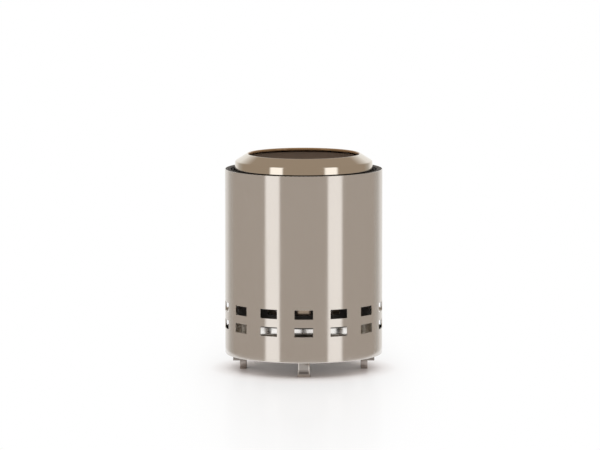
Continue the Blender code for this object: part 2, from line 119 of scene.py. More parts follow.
# Base ring and its rivets
BASE_BOTTOM = SHELL_BOTTOM + SHEET + FIT
BASE_INNER_RADIUS = 0.1045
BASE_OUTER_LEG = 0.014
BASE_INNER_LEG = 0.008
BASE_BEND = 0.002
RIVET_CIRCLES = {"inner": 0.116, "outer": 0.128}
RIVET_HOLE_RADIUS = 0.0028
RIVET_HEAD = 0.0044
RIVET_CROWN = 0.0022
RIVET_SHANK = 0.0025
RIVET_ARC_STEPS = 5
SPACER_RADIUS = 0.0035
SPACER_EDGE = 0.0004
PIN_STEPS = 24

# Feet, whose legs splay below the step, and the other folded pieces
FOOT_HALF_WIDTH = 0.011
SOLE_HALF_WIDTH = 0.0125
FOOT_SPLAY_HEIGHT = 0.0155
FOOT_FOLD = 0.0010
CLIP_FOLD = 0.0005
TAB_FOLD = 0.0004

# Grate, ledge and pan
LEDGE_TOP = 0.1388
LEDGE_INNER_RADIUS = 0.0955
LEDGE_LEG = 0.010
GRATE_RADIUS = 0.101
GRATE_THICKNESS = 0.0025
GRATE_STEPS = 160
GRATE_EDGE = 0.0004
GRATE_MARGIN = 0.006
GRATE_ROWS = 3
GRATE_HOLES_MORE = 6
GRATE_HOLE_RADIUS = 0.005
LIFT_HOLE_RADIUS = 0.0095
LIFT_HOLE_SIDES = 32
PAN_RADIUS = 0.093
PAN_BOTTOM = 0.1061
PAN_DEPTH = 0.020
PAN_RIM = 0.004
PAN_TAPER = 0.010
PAN_RIM_BEND = 0.0018
PAN_FLOOR_BEND = 0.004

# Steps round a turned wall: in a vent, between two vents, and in the plain stretch for the seam
VENT_STEPS = 8
BAR_STEPS = 8
SEAM_STEPS = 18
WALL_STEPS = 224

DRILL_DEPTH = 0.010


# Selecting and finishing

def only(obj):
    """Leave one object selected, and active."""
    bpy.ops.object.select_all(action="DESELECT")
    obj.select_set(True)
    bpy.context.view_layer.objects.active = obj


def finish_modifiers(obj):
    only(obj)
    for modifier in list(obj.modifiers):
        bpy.ops.object.modifier_apply(modifier=modifier.name)


def delete_faces(obj, unwanted):
    """Delete the faces whose middle passes a test."""
    only(obj)
    bpy.ops.object.mode_set(mode="EDIT")
    bpy.ops.mesh.select_mode(type="FACE")
    bpy.ops.mesh.select_all(action="DESELECT")
    bpy.ops.object.mode_set(mode="OBJECT")
    for face in obj.data.polygons:
        face.select = unwanted(face.center)
    bpy.ops.object.mode_set(mode="EDIT")
    bpy.ops.mesh.delete(type="FACE")
    bpy.ops.object.mode_set(mode="OBJECT")


def soften(obj, width=BURR, segments=2):
    """Break the sheet's cut edges, and shade its bends and walls smooth."""
    bevel = obj.modifiers.new("broken_edges", "BEVEL")
    bevel.width = width
    bevel.segments = segments
    bevel.limit_method = "ANGLE"
    bevel.angle_limit = SOFTEN_ABOVE
    bevel.use_clamp_overlap = True
    finish_modifiers(obj)
    bpy.ops.object.shade_smooth_by_angle(angle=SMOOTH_BELOW)


def round_axis(away, azimuth, height=0.0):
    """A place at a distance from the pit's axis. Azimuth 0 is the front."""
    return (away * math.sin(azimuth), -away * math.cos(azimuth), height)


# Sections, as (radius, height) points

def unit(start, end):
    length = math.dist(start, end)
    return ((end[0] - start[0]) / length, (end[1] - start[1]) / length)


def rounded(corners, steps=6):
    """Replace each corner given as (radius, height, bend) by an arc of that bend radius.

    A point just outside each end of the arc keeps the shading of the straight parts flat.
    """
    path = []
    for i, corner in enumerate(corners):
        here = corner[:2]
        if len(corner) == 2:
            path.append(here)
            continue
        bend = corner[2]
        before = unit(here, corners[i - 1][:2])
        after = unit(here, corners[i + 1][:2])
        half = math.acos(before[0] * after[0] + before[1] * after[1]) / 2
        middle = unit((0.0, 0.0), (before[0] + after[0], before[1] + after[1]))
        centre = [here[k] + middle[k] * bend / math.sin(half) for k in (0, 1)]
        start = [here[k] + before[k] * bend / math.tan(half) for k in (0, 1)]
        end = [here[k] + after[k] * bend / math.tan(half) for k in (0, 1)]
        first = math.atan2(start[1] - centre[1], start[0] - centre[0])
        last = math.atan2(end[1] - centre[1], end[0] - centre[0])
        turn = (last - first + math.pi) % (2 * math.pi) - math.pi
        path.append((start[0] + before[0] * SHADING_HOLD, start[1] + before[1] * SHADING_HOLD))
        for step in range(steps + 1):
            angle = first + turn * step / steps
            path.append((centre[0] + bend * math.cos(angle), centre[1] + bend * math.sin(angle)))
        path.append((end[0] + after[0] * SHADING_HOLD, end[1] + after[1] * SHADING_HOLD))
    return path


# Turned sheet metal

def trace(name, section):
    """Extrude one point along a section, at the front of the pit, and stay in edit mode."""
    bpy.ops.object.select_all(action="DESELECT")
    bpy.ops.mesh.primitive_plane_add(size=SHEET)
    obj = bpy.context.object
    obj.name = name
    obj.data.name = name
    bpy.ops.object.mode_set(mode="EDIT")
    bpy.ops.mesh.select_mode(type="VERT")
    bpy.ops.mesh.merge(type="CENTER")
    radius, height = section[0]
    bpy.ops.transform.translate(value=(0.0, -radius, height))
    for before, here in zip(section, section[1:]):
        move = (0.0, before[0] - here[0], here[1] - before[1])
        bpy.ops.mesh.extrude_region_move(TRANSFORM_OT_translate={"value": move})
    return obj


def spin(spans):
    """Spin the traced section round the axis in spans of (angle, steps), and join its ends."""
    bpy.ops.mesh.select_all(action="SELECT")
    for angle, steps in spans:
        bpy.ops.mesh.spin(steps=steps, angle=angle, center=ORIGIN, axis=UP)
    bpy.ops.mesh.select_all(action="SELECT")
    bpy.ops.mesh.remove_doubles(threshold=MERGE)
    bpy.ops.mesh.normals_make_consistent(inside=False)


def face_outwards(obj, section):
    """Turn the normals of a spun surface to the right of the way in which its section runs."""
    run = unit(section[0], section[1])
    middle = ((section[0][0] + section[1][0]) / 2, (section[0][1] + section[1][1]) / 2)
    face = min(
        obj.data.polygons,
        key=lambda f: math.dist((math.hypot(f.center.x, f.center.y), f.center.z), middle),
    )
    outwards = Vector((face.center.x, face.center.y, 0.0)).normalized()
    across = face.normal.dot(outwards) * -run[1] + face.normal.z * run[0]
    if across < 0.0:
        bpy.ops.object.mode_set(mode="EDIT")
        bpy.ops.mesh.select_all(action="SELECT")
        bpy.ops.mesh.flip_normals()
        bpy.ops.object.mode_set(mode="OBJECT")


def turn_sheet(name, section, spans=None, windows=None, thickness=SHEET):
    """A turned sheet: its outer face is spun and opened, and then gets its thickness inwards."""
    obj = trace(name, section)
    spin(spans or [(2 * math.pi, WALL_STEPS)])
    bpy.ops.object.mode_set(mode="OBJECT")
    face_outwards(obj, section)
    if windows:
        delete_faces(obj, windows)
    wall = obj.modifiers.new("gauge", "SOLIDIFY")
    wall.thickness = thickness
    wall.offset = -1.0
    wall.use_even_offset = True
    finish_modifiers(obj)
    return obj


def turn_solid(name, section, place):
    """A small turned solid whose section starts and ends on its own axis, moved to its place."""
    obj = trace(name, section)
    spin([(2 * math.pi, PIN_STEPS)])
    bpy.ops.transform.translate(value=place)
    bpy.ops.object.mode_set(mode="OBJECT")
    bpy.ops.object.shade_smooth_by_angle(angle=SMOOTH_BELOW)
    return obj


def vent_spans(width, radius):
    """Spans round a wall with vents, from the middle of the front one, and half a vent's angle."""
    half = math.asin(width / 2 / radius)
    spans = [(half, VENT_STEPS // 2)]
    for column in range(VENT_COLUMNS):
        at_seam = column == VENT_COLUMNS // 2
        gap = (SEAM_STRETCH if at_seam else VENT_PITCH) - 2 * half
        spans.append((gap, SEAM_STEPS if at_seam else BAR_STEPS))
        last = column == VENT_COLUMNS - 1
        spans.append((half if last else 2 * half, VENT_STEPS // 2 if last else VENT_STEPS))
    return spans, half


def in_vent(middle, half, rows):
    """Whether a face of a wall lies in one of its vents, in rows of (lowest, highest)."""
    azimuth = math.atan2(middle.x, -middle.y)
    column = round(azimuth / VENT_PITCH)
    off = abs(azimuth - column * VENT_PITCH)
    in_row = any(low < middle.z < high for low, high in rows)
    return in_row and abs(column) <= VENT_COLUMNS // 2 and off < half


def vented_wall(name, section, width, radius, rows):
    spans, half = vent_spans(width, radius)
    return turn_sheet(name, section, spans, lambda middle: in_vent(middle, half, rows))


def row_edges(height):
    return (height - VENT_HEIGHT / 2, height + VENT_HEIGHT / 2)


def drill(obj, radius, count, away, height, level, azimuth=0.0, sides=20):
    """Cut a ring of round holes with one drill, copied round the axis.

    The drill is turned half a side, so that no corner of it lies on an edge of the wall.
    """
    turned = math.pi / sides
    bpy.ops.object.select_all(action="DESELECT")
    bpy.ops.mesh.primitive_cylinder_add(
        vertices=sides,
        radius=radius,
        depth=DRILL_DEPTH,
        location=round_axis(away, azimuth, height),
        rotation=(math.pi / 2, turned, azimuth) if level else (0.0, 0.0, turned),
    )
    bit = bpy.context.object
    bpy.ops.object.transform_apply(location=True, rotation=True, scale=True)
    if count > 1:
        bpy.ops.object.mode_set(mode="EDIT")
        bpy.ops.mesh.select_all(action="SELECT")
        bpy.ops.mesh.spin(
            steps=count - 1,
            dupli=True,
            angle=2 * math.pi * (count - 1) / count,
            center=ORIGIN,
            axis=UP,
        )
        bpy.ops.object.mode_set(mode="OBJECT")
    holes = obj.modifiers.new("holes", "BOOLEAN")
    holes.object = bit
    holes.operation = "DIFFERENCE"
    holes.solver = "EXACT"
    finish_modifiers(obj)
    bpy.data.objects.remove(bit, do_unlink=True)


# The cone of the flame ring sets the heights of what meets it

def cone_face(radius):
    lip_centre = LIP_TOP - LIP_BEND
    touch_radius = MOUTH_RADIUS + LIP_BEND * (1 + math.sin(CONE_SLOPE))
    touch_height = lip_centre + LIP_BEND * math.cos(CONE_SLOPE)
    return touch_height - (radius - touch_radius) * math.tan(CONE_SLOPE)


def cone_underside(radius):
    return cone_face(radius) - SHEET / math.cos(CONE_SLOPE)


# Pieces

def outer_shell():
    lower, upper = row_edges(LOWER_VENT_Z), row_edges(UPPER_VENT_Z)
    section = rounded([
        (SHELL_RADIUS, SHELL_TOP),
        (SHELL_RADIUS, upper[1]),
        (SHELL_RADIUS, upper[0]),
        (SHELL_RADIUS, lower[1]),
        (SHELL_RADIUS, lower[0]),
        (SHELL_RADIUS, SHELL_BOTTOM, SHELL_BEND),
        (SHELL_RADIUS - SHELL_HEM, SHELL_BOTTOM),
    ])
    obj = vented_wall("shell", section, VENT_WIDTH, SHELL_RADIUS, (lower, upper))
    soften(obj)
    return obj


def slotted_ring():
    inner, outer = RING_RADIUS + TOP_RING_PLAY, SHELL_BORE - FIT
    middle = (inner + outer) / 2
    slot_inner, slot_outer = middle - SLOT_LENGTH / 2, middle + SLOT_LENGTH / 2
    section = [(radius, TOP_RING_Z) for radius in (inner, slot_inner, slot_outer, outer)]
    half = math.asin(SLOT_WIDTH / 2 / middle)
    pitch = 2 * math.pi / TOP_SLOTS
    spans = [(half, 1)]
    for slot in range(TOP_SLOTS):
        spans.append((pitch - 2 * half, 1))
        spans.append((half, 1) if slot == TOP_SLOTS - 1 else (2 * half, 1))

    def in_slot(point):
        azimuth = math.atan2(point.x, -point.y)
        off = abs(azimuth - round(azimuth / pitch) * pitch)
        return off < half and slot_inner < math.hypot(point.x, point.y) < slot_outer

    obj = turn_sheet("slotted_ring", section, spans, in_slot)
    soften(obj, segments=1)
    return obj


def flame_ring():
    section = rounded([
        (MOUTH_RADIUS, LIP_TOP - LIP_DEPTH),
        (MOUTH_RADIUS, cone_face(MOUTH_RADIUS), LIP_BEND),
        (BAND_TOP_RADIUS, cone_face(BAND_TOP_RADIUS), CONE_BEND),
        (RING_RADIUS, BAND_BOTTOM),
    ], steps=RING_BEND_STEPS)
    obj = turn_sheet("domed_ring", section)
    soften(obj)
    return obj


def jacket():
    vent = row_edges(JACKET_VENT_Z)
    section = rounded([
        (JACKET_RADIUS, cone_underside(JACKET_RADIUS) - FIT),
        (JACKET_RADIUS, vent[1]),
        (JACKET_RADIUS, vent[0]),
        (JACKET_RADIUS, JACKET_BOTTOM, SHELL_BEND),
        (JACKET_RADIUS - JACKET_FLANGE, JACKET_BOTTOM),
    ])
    obj = vented_wall("jacket_wall", section, JACKET_VENT_WIDTH, JACKET_RADIUS, (vent,))
    soften(obj)
    return obj


def burn_chamber():
    top = cone_underside(CHAMBER_RADIUS) - CHAMBER_TOP_DROP
    section = rounded([
        (CHAMBER_RADIUS, top),
        (CHAMBER_RADIUS, CHAMBER_BOTTOM, SHELL_BEND),
        (CHAMBER_RADIUS - CHAMBER_FLANGE, CHAMBER_BOTTOM),
    ])
    obj = turn_sheet("chamber_wall", section)
    rows = (
        (PRIMARY_HOLE_RADIUS, CHAMBER_BOTTOM + PRIMARY_HOLE_RAISE),
        (SECONDARY_HOLE_RADIUS, top - SECONDARY_HOLE_DROP),
    )
    for radius, height in rows:
        drill(obj, radius, CHAMBER_HOLES, CHAMBER_RADIUS, height, True, CHAMBER_HOLE_TURN)
    soften(obj, segments=1)
    return obj


def dish(name, radius, bottom, rim):
    section = rounded([(radius, bottom + rim), (radius, bottom, SHELL_BEND), (0.0, bottom)])
    obj = turn_sheet(name, section)
    soften(obj)
    return obj


def crown_ring():
    high = cone_underside(JACKET_RADIUS) - CROWN_DROP
    section = rounded([
        (CHAMBER_RADIUS + FIT, high),
        (JACKET_BORE - FIT, high, SHELL_BEND),
        (JACKET_BORE - FIT, high - CROWN_RIM),
    ])
    obj = turn_sheet("crown", section)
    soften(obj)
    return obj


def grate_ledge():
    section = rounded([
        (LEDGE_INNER_RADIUS, LEDGE_TOP),
        (CHAMBER_BORE - FIT, LEDGE_TOP, SHELL_BEND),
        (CHAMBER_BORE - FIT, LEDGE_TOP - LEDGE_LEG),
    ])
    obj = turn_sheet("ledge", section)
    soften(obj)
    return obj


def fuel_grate():
    low = LEDGE_TOP + FIT
    bpy.ops.object.select_all(action="DESELECT")
    bpy.ops.mesh.primitive_cylinder_add(
        vertices=GRATE_STEPS,
        radius=GRATE_RADIUS,
        depth=GRATE_THICKNESS,
        location=(0.0, 0.0, low + GRATE_THICKNESS / 2),
    )
    obj = bpy.context.object
    obj.name = "grate_plate"
    bpy.ops.object.transform_apply(location=True, rotation=True, scale=True)
    pitch = (LEDGE_INNER_RADIUS - GRATE_MARGIN - GRATE_HOLE_RADIUS) / GRATE_ROWS
    for row in range(1, GRATE_ROWS + 1):
        count = row * GRATE_HOLES_MORE
        drill(obj, GRATE_HOLE_RADIUS, count, row * pitch, low, False, math.pi / count)
    drill(obj, LIFT_HOLE_RADIUS, 1, 0.0, low, False, sides=LIFT_HOLE_SIDES)
    soften(obj, width=GRATE_EDGE)
    return obj


def ash_pan():
    section = rounded([
        (PAN_RADIUS, PAN_BOTTOM + PAN_DEPTH),
        (PAN_RADIUS - PAN_RIM, PAN_BOTTOM + PAN_DEPTH, PAN_RIM_BEND),
        (PAN_RADIUS - PAN_TAPER, PAN_BOTTOM, PAN_FLOOR_BEND),
        (0.0, PAN_BOTTOM),
    ])
    obj = turn_sheet("pan", section)
    soften(obj)
    return obj


def base_ring():
    outer = SHELL_BORE - FIT
    section = rounded([
        (outer, BASE_BOTTOM + BASE_OUTER_LEG),
        (outer, BASE_BOTTOM, BASE_BEND),
        (BASE_INNER_RADIUS, BASE_BOTTOM, BASE_BEND),
        (BASE_INNER_RADIUS, BASE_BOTTOM + BASE_INNER_LEG),
    ])
    obj = turn_sheet("base_channel", section, thickness=THICK_SHEET)
    for away in RIVET_CIRCLES.values():
        drill(obj, RIVET_HOLE_RADIUS, 4, away, BASE_BOTTOM, False)
    soften(obj)
    return obj


def folded_copy(name, node, fold):
    """A copy of a small flat-sided piece, with its loose faces joined and its edges rounded."""
    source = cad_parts[node]
    obj = source.copy()
    obj.data = source.data.copy()
    obj.name = name
    obj.data.name = name
    obj.data.materials.clear()
    bpy.context.scene.collection.objects.link(obj)
    only(obj)
    bpy.ops.object.mode_set(mode="EDIT")
    bpy.ops.mesh.select_all(action="SELECT")
    bpy.ops.mesh.remove_doubles(threshold=MERGE)
    bpy.ops.mesh.dissolve_limited(angle_limit=JOIN_BELOW)
    bpy.ops.object.mode_set(mode="OBJECT")
    soften(obj, width=fold, segments=3)
    return obj


def rivet(name, away, azimuth):
    low = BASE_BOTTOM - FIT - THICK_SHEET - FIT
    high = BASE_BOTTOM + THICK_SHEET + FIT
    arc = [math.radians(90.0 * i / RIVET_ARC_STEPS) for i in range(RIVET_ARC_STEPS + 1)]
    upper = [(RIVET_HEAD * math.sin(a), high + RIVET_CROWN * math.cos(a)) for a in arc]
    lower = [(RIVET_HEAD * math.cos(a), low - RIVET_CROWN * math.sin(a)) for a in arc]
    section = upper + [(RIVET_SHANK, high), (RIVET_SHANK, low)] + lower
    return turn_solid(name, section, round_axis(away, azimuth))


def spacer(name, azimuth):
    low = JACKET_FLOOR_BOTTOM + SHEET + FIT
    high = CHAMBER_BOTTOM - FIT
    end_radius = SPACER_RADIUS - SPACER_EDGE
    section = [
        (0.0, high),
        (end_radius, high),
        (SPACER_RADIUS, high - SPACER_EDGE),
        (SPACER_RADIUS, low + SPACER_EDGE),
        (end_radius, low),
        (0.0, low),
    ]
    return turn_solid(name, section, round_axis(CHAMBER_RADIUS - CHAMBER_FLANGE / 2, azimuth))


# Nodes

FLOAT = "NodeSocketFloat"
COLOUR = "NodeSocketColor"
Spot = namedtuple("Spot", "height away x y")


def feed(tree, value, socket):
    """Put a number, a colour or another node's output into a socket."""
    if isinstance(value, (int, float)):
        socket.default_value = value
    elif isinstance(value, tuple):
        socket.default_value = (*value, 1.0)
    else:
        tree.links.new(value, socket)


def math_node(tree, operation, first, second=None):
    made = tree.nodes.new("ShaderNodeMath")
    made.operation = operation
    feed(tree, first, made.inputs[0])
    if second is not None:
        feed(tree, second, made.inputs[1])
    return made.outputs[0]


def length_of(tree, vector):
    made = tree.nodes.new("ShaderNodeVectorMath")
    made.operation = "LENGTH"
    tree.links.new(vector, made.inputs[0])
    return made.outputs["Value"]


def ramp(tree, source, stops):
    """A colour ramp of (position, colour) stops, read from a value."""
    made = tree.nodes.new("ShaderNodeValToRGB")
    elements = made.color_ramp.elements
    elements[0].position, elements[0].color = stops[0][0], (*stops[0][1], 1.0)
    elements[1].position, elements[1].color = stops[-1][0], (*stops[-1][1], 1.0)
    for position, colour in stops[1:-1]:
        elements.new(position).color = (*colour, 1.0)
    tree.links.new(source, made.inputs["Fac"])
    return made.outputs["Color"]


def spread(tree, source, low, high, to_low=0.0, to_high=1.0, smooth=False):
    """Map a value's range from low to high onto another range, and hold it outside."""
    made = tree.nodes.new("ShaderNodeMapRange")
    if smooth:
        made.interpolation_type = "SMOOTHSTEP"
    feed(tree, low, made.inputs["From Min"])
    feed(tree, high, made.inputs["From Max"])
    feed(tree, to_low, made.inputs["To Min"])
    feed(tree, to_high, made.inputs["To Max"])
    tree.links.new(source, made.inputs["Value"])
    return made.outputs["Result"]


def fall(tree, source, low, high, smooth=False):
    """A mask that is 1 up to the low value and 0 from the high one."""
    return spread(tree, source, low, high, 1.0, 0.0, smooth)


def grade(tree, mask, first, second):
    """Mix two numbers by a mask."""
    return spread(tree, mask, 0.0, 1.0, first, second)


def blend(tree, mask, first, second):
    """Mix two colours by a mask. Each is a fixed colour or a socket."""
    mix = tree.nodes.new("ShaderNodeMix")
    mix.data_type = "RGBA"
    feed(tree, first, mix.inputs["A"])
    feed(tree, second, mix.inputs["B"])
    tree.links.new(mask, mix.inputs["Factor"])
    return mix.outputs["Result"]


def mix_shaders(tree, mask, first, second):
    mix = tree.nodes.new("ShaderNodeMixShader")
    feed(tree, mask, mix.inputs["Fac"])
    tree.links.new(first, mix.inputs[1])
    tree.links.new(second, mix.inputs[2])
    return mix.outputs[0]


def noise(tree, vector, scale, detail, distortion=0.0):
    made = tree.nodes.new("ShaderNodeTexNoise")
    feed(tree, scale, made.inputs["Scale"])
    made.inputs["Detail"].default_value = detail
    made.inputs["Distortion"].default_value = distortion
    tree.links.new(vector, made.inputs["Vector"])
    return made.outputs["Fac"]


def object_place(tree):
    return tree.nodes.new("ShaderNodeTexCoord").outputs["Object"]


def spot_on_pit(tree):
    """Where a point lies: its height, its distance from the axis, and its place along X and Y."""
    parts = tree.nodes.new("ShaderNodeSeparateXYZ")
    tree.links.new(object_place(tree), parts.inputs[0])
    flat = tree.nodes.new("ShaderNodeCombineXYZ")
    tree.links.new(parts.outputs["X"], flat.inputs["X"])
    tree.links.new(parts.outputs["Y"], flat.inputs["Y"])
    away = length_of(tree, flat.outputs[0])
    return Spot(parts.outputs["Z"], away, parts.outputs["X"], parts.outputs["Y"])


# Node groups

def group(name, inputs, outputs):
    """An empty node group with number inputs and with outputs of (name, kind), and its ends."""
    tree = bpy.data.node_groups.new(name, "ShaderNodeTree")
    for label in inputs:
        tree.interface.new_socket(label, in_out="INPUT", socket_type=FLOAT)
    for label, kind in outputs:
        tree.interface.new_socket(label, in_out="OUTPUT", socket_type=kind)
    return tree, tree.nodes.new("NodeGroupInput"), tree.nodes.new("NodeGroupOutput")


def place_group(tree, used, **values):
    made = tree.nodes.new("ShaderNodeGroup")
    made.node_tree = used
    for key, value in values.items():
        feed(tree, value, made.inputs[key.capitalize()])
    return made


def sheet_grain_group():
    """Fine lines round the pit's axis from rolling and polishing, as a height and a roughness."""
    tree, ends_in, ends_out = group(
        "sheet_grain", ["Lines", "Smooth", "Rough"], [("Height", FLOAT), ("Roughness", FLOAT)]
    )
    stretch_round = 5.0
    spot = spot_on_pit(tree)
    level = math_node(tree, "ADD", spot.height, spot.away)
    lines = tree.nodes.new("ShaderNodeCombineXYZ")
    feed(tree, math_node(tree, "MULTIPLY", spot.x, stretch_round), lines.inputs["X"])
    feed(tree, math_node(tree, "MULTIPLY", spot.y, stretch_round), lines.inputs["Y"])
    feed(tree, math_node(tree, "MULTIPLY", level, ends_in.outputs["Lines"]), lines.inputs["Z"])
    height = noise(tree, lines.outputs[0], scale=1.0, detail=3.0)
    rough = spread(tree, height, 0.3, 0.7, ends_in.outputs["Smooth"], ends_in.outputs["Rough"])
    feed(tree, height, ends_out.inputs["Height"])
    feed(tree, rough, ends_out.inputs["Roughness"])
    return tree


def smudges_group():
    """Soft cloudy marks from handling, from 0 where clean to 1."""
    tree, ends_in, ends_out = group("smudges", ["Size", "Cover"], [("Mask", FLOAT)])
    edge_softness = 0.35
    clouds = noise(tree, object_place(tree), ends_in.outputs["Size"], detail=5.0, distortion=0.6)
    low = math_node(tree, "SUBTRACT", 1.0, ends_in.outputs["Cover"])
    high = math_node(tree, "ADD", low, edge_softness)
    feed(tree, spread(tree, clouds, low, high, smooth=True), ends_out.inputs["Mask"])
    return tree


def heat_tint_group():
    """Oxide colours of hot steel, from bare through straw and bronze to a dull brown."""
    tree, ends_in, ends_out = group("heat_tint", ["Heat", "Drift"], [("Colour", COLOUR)])
    centred = math_node(tree, "SUBTRACT", noise(tree, object_place(tree), 14.0, detail=4.0), 0.5)
    drift = math_node(tree, "MULTIPLY", centred, ends_in.outputs["Drift"])
    total = math_node(tree, "ADD", ends_in.outputs["Heat"], drift)
    colour = ramp(tree, total, [
        (0.0, (0.92, 0.88, 0.84)),
        (0.25, (0.58, 0.44, 0.27)),
        (0.5, (0.42, 0.25, 0.12)),
        (0.75, (0.36, 0.23, 0.14)),
        (1.0, (0.30, 0.23, 0.18)),
    ])
    feed(tree, colour, ends_out.inputs["Colour"])
    return tree


GRAIN = sheet_grain_group()
SMUDGES = smudges_group()
HEAT_TINT = heat_tint_group()


# Steels. Their colours are linear RGB.

SHELL_GREY = (0.68, 0.64, 0.60)
# Painted light: the shell's inner face, brighter than its outside.
SHELL_INSIDE_LIT = (0.93, 0.91, 0.88)
# Painted shade and light on the jacket: near black outside, bright inside.
JACKET_SHADE_BLACK = (0.06, 0.055, 0.05)
JACKET_INSIDE_LIT = (0.90, 0.87, 0.84)
STRAW = (0.80, 0.74, 0.66)
# Painted shade on the flame ring below the shell's rim.
RING_GAP_SHADE = (0.015, 0.012, 0.010)
# Painted shade at the slotted ring's edges, along the flame ring and along the shell.
TOP_RING_SHADE_BLACK = (0.010, 0.009, 0.008)
TOP_RING_GREY = (0.17, 0.155, 0.145)
TOP_RING_SHADE_EDGE = (0.03, 0.028, 0.026)
# Painted light on the feet: highlights along the sides and at the sole, a band of painted shade, a
# face in painted shade darker than the shell, and flanks lighter low and darker high.
FOOT_RAIL_HIGHLIGHT = (0.60, 0.56, 0.52)
FOOT_SOLE_HIGHLIGHT = (0.58, 0.53, 0.49)
FOOT_BAND_SHADE = (0.10, 0.088, 0.08)
FOOT_SHADED_GREY = (0.33, 0.30, 0.275)
FOOT_SIDE_LOW_LIGHT = (0.42, 0.38, 0.355)
FOOT_SIDE_HIGH_SHADE = (0.24, 0.215, 0.195)
GRATE_SCALE = (0.10, 0.09, 0.085)
GRATE_RUBBED = (0.24, 0.21, 0.19)

# Where one finish passes into the next, and on the feet where the painted light and shade change,
# as (first, last) distance in metres
SEAM_EDGE = (0.0006, 0.0014)
MOUTH_EDGE = (0.1062, 0.1075)
FOOT_RAIL_EDGE = (0.0018, 0.0026)
FOOT_FLANK_EDGE = (0.0002, 0.0005)
CHAMBER_WARM_HEIGHTS = (0.16, 0.41)


def steel(name):
    """A metal whose colour and roughness are still to be set."""
    made = bpy.data.materials.new(name)
    made.use_nodes = True
    shader = made.node_tree.nodes["Principled BSDF"]
    shader.inputs["Metallic"].default_value = 1.0
    return made, made.node_tree, shader


def bump_on(tree, shader, height, depth, strength=1.0):
    bump = tree.nodes.new("ShaderNodeBump")
    bump.inputs["Strength"].default_value = strength
    bump.inputs["Distance"].default_value = depth
    tree.links.new(height, bump.inputs["Height"])
    tree.links.new(bump.outputs["Normal"], shader.inputs["Normal"])


def seam_mask(tree):
    """The weld down the back, 1 on the bead and 0 elsewhere."""
    spot = spot_on_pit(tree)
    bead = fall(tree, math_node(tree, "ABSOLUTE", spot.x), *SEAM_EDGE, smooth=True)
    behind = math_node(tree, "GREATER_THAN", spot.y, 0.0)
    return math_node(tree, "MULTIPLY", bead, behind)


def grain_on(tree, shader, lines, smooth, rough, depth, marks=0.06, seam=False):
    """Lay grain and smudges on a steel, and on the shell the weld, as roughness and bump."""
    grain = place_group(tree, GRAIN, lines=lines, smooth=smooth, rough=rough)
    smudges = place_group(tree, SMUDGES, size=9.0, cover=0.5)
    haze = math_node(tree, "MULTIPLY", smudges.outputs["Mask"], marks)
    total = math_node(tree, "ADD", grain.outputs["Roughness"], haze)
    height = grain.outputs["Height"]
    if seam:
        bead = seam_mask(tree)
        bead_roughness, bead_height = 0.25, 8.0
        total = math_node(tree, "ADD", total, math_node(tree, "MULTIPLY", bead, bead_roughness))
        height = math_node(tree, "ADD", height, math_node(tree, "MULTIPLY", bead, bead_height))
    tree.links.new(total, shader.inputs["Roughness"])
    bump_on(tree, shader, height, depth)


def polished_shell_steel():
    """Warm grey outside. The inner face is painted light: brighter metal than the outside of the
    same sheet.
    """
    made, tree, shader = steel("polished_shell_steel")
    grain_on(tree, shader, lines=1100.0, smooth=0.07, rough=0.12, depth=0.0000004, seam=True)
    away = spot_on_pit(tree).away
    outside = spread(tree, away, SHELL_BORE + 0.0003, SHELL_BORE + 0.0008)
    # Painted light: the inner face gets a brighter colour and more metal than the outside.
    feed(tree, blend(tree, outside, SHELL_INSIDE_LIT, SHELL_GREY), shader.inputs["Base Color"])
    feed(tree, grade(tree, outside, 1.0, 0.70), shader.inputs["Metallic"])
    return made


def foot_steel_with_painted_light():
    """Painted shade makes it darker than the shell. A foot's face has painted highlights along its
    sides and at the sole, and a band of painted shade above; its flanks are painted lighter low
    down and darker higher up.
    """
    made, tree, shader = steel("foot_steel_with_painted_light")
    grain_on(tree, shader, lines=1100.0, smooth=0.16, rough=0.24, depth=0.0000004)
    spot = spot_on_pit(tree)
    height = spot.height
    off_middle = math_node(
        tree, "MINIMUM", math_node(tree, "ABSOLUTE", spot.x), math_node(tree, "ABSOLUTE", spot.y)
    )
    half_width = spread(tree, height, 0.0, FOOT_SPLAY_HEIGHT, SOLE_HALF_WIDTH, FOOT_HALF_WIDTH)
    inward = math_node(tree, "SUBTRACT", half_width, off_middle)
    # Painted highlight along each side of a foot's face.
    rail_highlight = fall(tree, inward, *FOOT_RAIL_EDGE, smooth=True)
    flank = fall(tree, inward, *FOOT_FLANK_EDGE)
    # Painted highlight at the sole, then a band of painted shade, then the shaded grey of the face.
    face = ramp(tree, height, [
        (0.0050, FOOT_SOLE_HIGHLIGHT),
        (0.0068, FOOT_BAND_SHADE),
        (0.0096, FOOT_BAND_SHADE),
        (0.0116, FOOT_SHADED_GREY),
    ])
    front = blend(tree, rail_highlight, face, FOOT_RAIL_HIGHLIGHT)
    # Painted light and shade on the flanks: lighter low down, darker higher up.
    side = ramp(tree, height, [(0.0130, FOOT_SIDE_LOW_LIGHT), (0.0180, FOOT_SIDE_HIGH_SHADE)])
    feed(tree, blend(tree, flank, front, side), shader.inputs["Base Color"])
    return made


